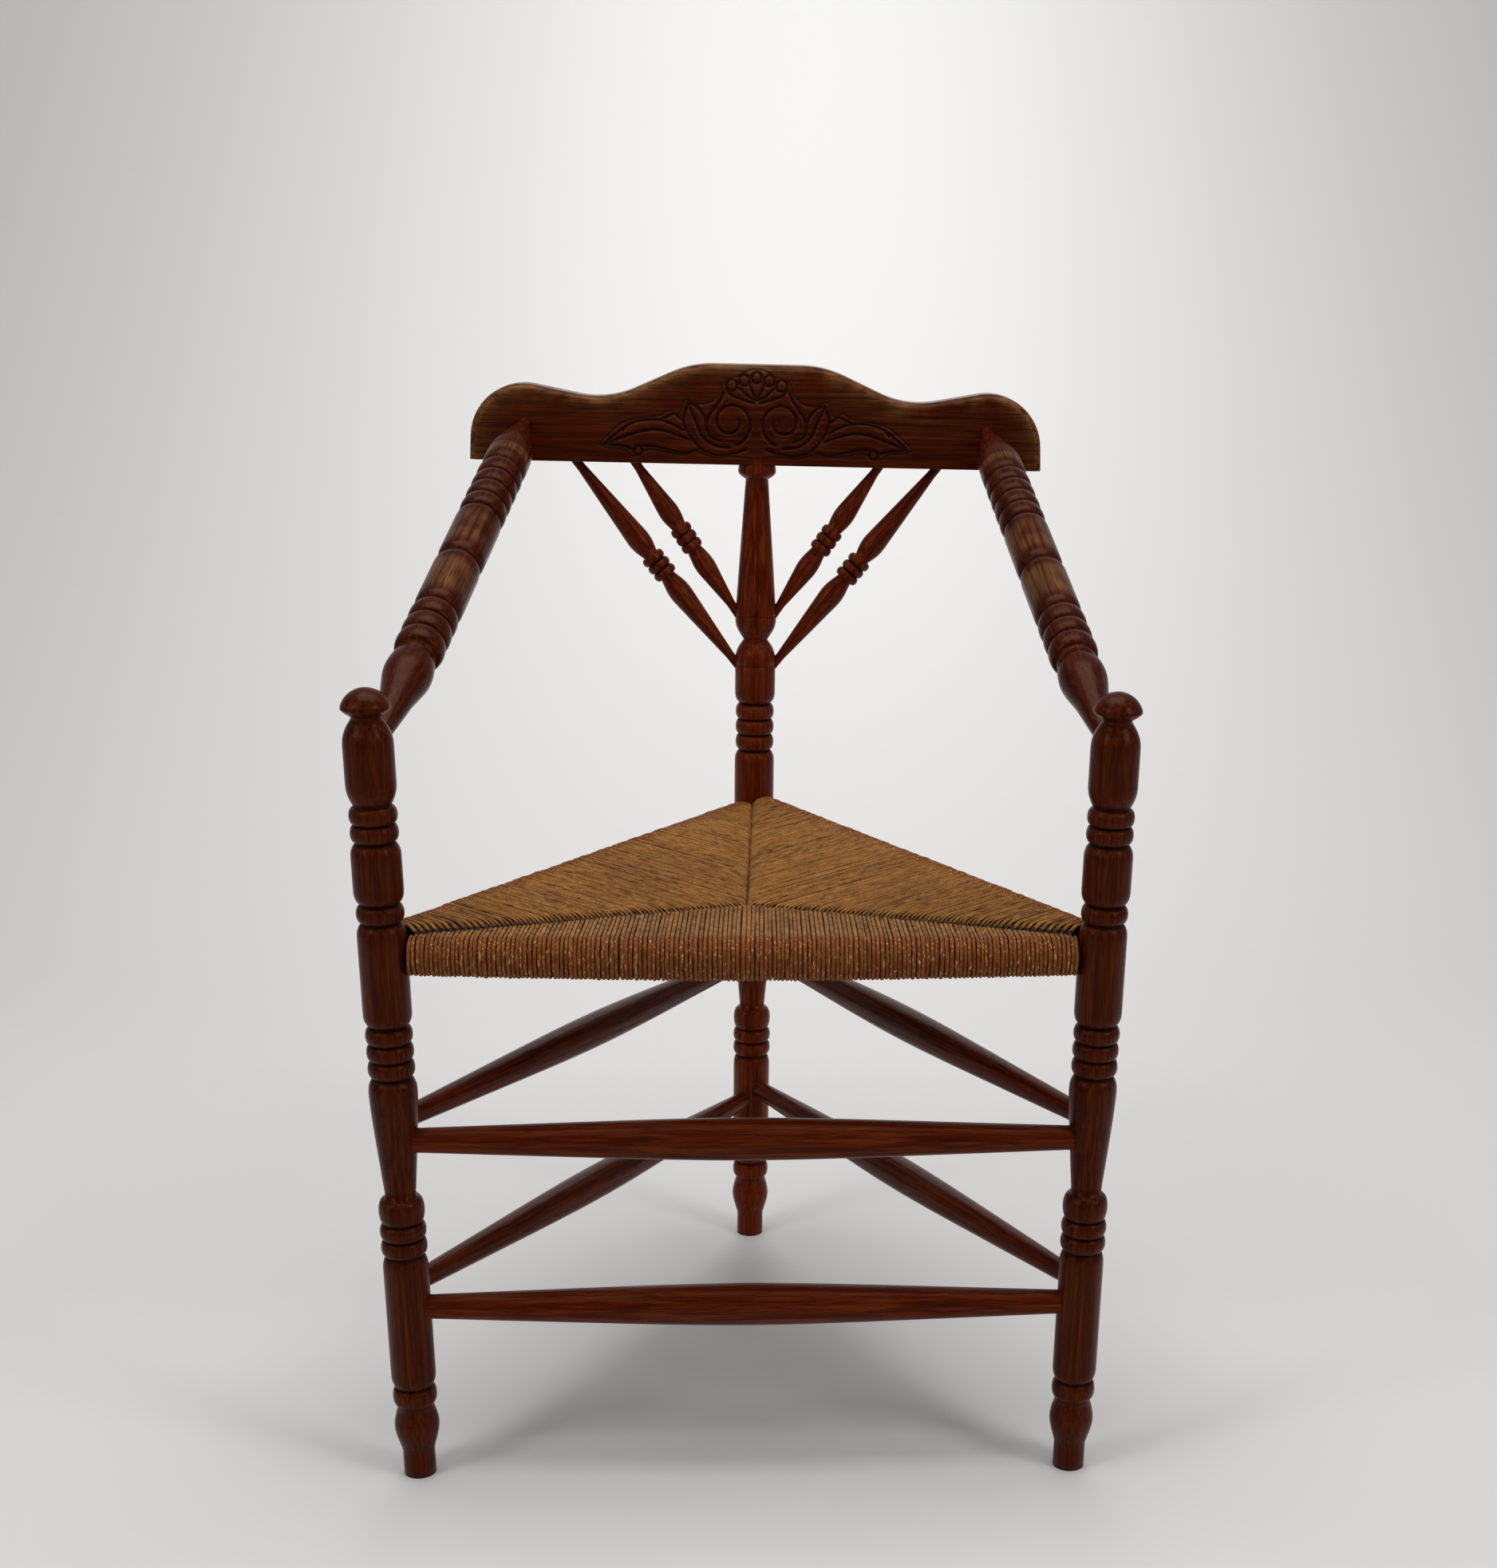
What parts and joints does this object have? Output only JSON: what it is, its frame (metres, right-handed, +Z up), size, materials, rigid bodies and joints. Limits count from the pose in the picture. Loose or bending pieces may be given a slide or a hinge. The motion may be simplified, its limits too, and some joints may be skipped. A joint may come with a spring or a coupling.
{
  "type": "corner chair",
  "caption": "Corner chair in dark turned wood: triangular woven rush seat, sloping turned arms, scroll-topped carved crest rail on the back post with slanting spindles",
  "frame": {"origin": "on the floor under the middle of the chair's overall box", "axes": "+Z up; +Y from the wide open front towards the back post; +X to the right as seen from the front"},
  "size_m": [0.5902, 0.5056, 0.8548],
  "materials": {
    "oak": "dark red-brown stained oak, satin varnish, worn lighter on the arms",
    "rail_wood": "unfinished wood, hidden inside the rush",
    "rush": "twisted natural rush cord, dull, olive-brown on top and more orange at the front",
    "stuffing": "dry rush stuffing, hidden between the layers of cord"
  },
  "bodies": {
    "root": {"back_post": "oak", "crest_rail": "oak", "front_left_post": "oak", "front_right_post": "oak", "front_seat_rail": "rail_wood", "front_seat_stuffing": "stuffing", "left_arm": "oak", "left_inner_spindle": "oak", "left_outer_spindle": "oak", "left_seat_rail": "rail_wood", "left_seat_stuffing": "stuffing", "lower_front_stretcher": "oak", "lower_left_stretcher": "oak", "lower_right_stretcher": "oak", "right_arm": "oak", "right_inner_spindle": "oak", "right_outer_spindle": "oak", "right_seat_rail": "rail_wood", "right_seat_stuffing": "stuffing", "upper_front_stretcher": "oak", "upper_left_stretcher": "oak", "upper_right_stretcher": "oak", "woven_rush_seat": "rush"}
  },
  "joints": []
}
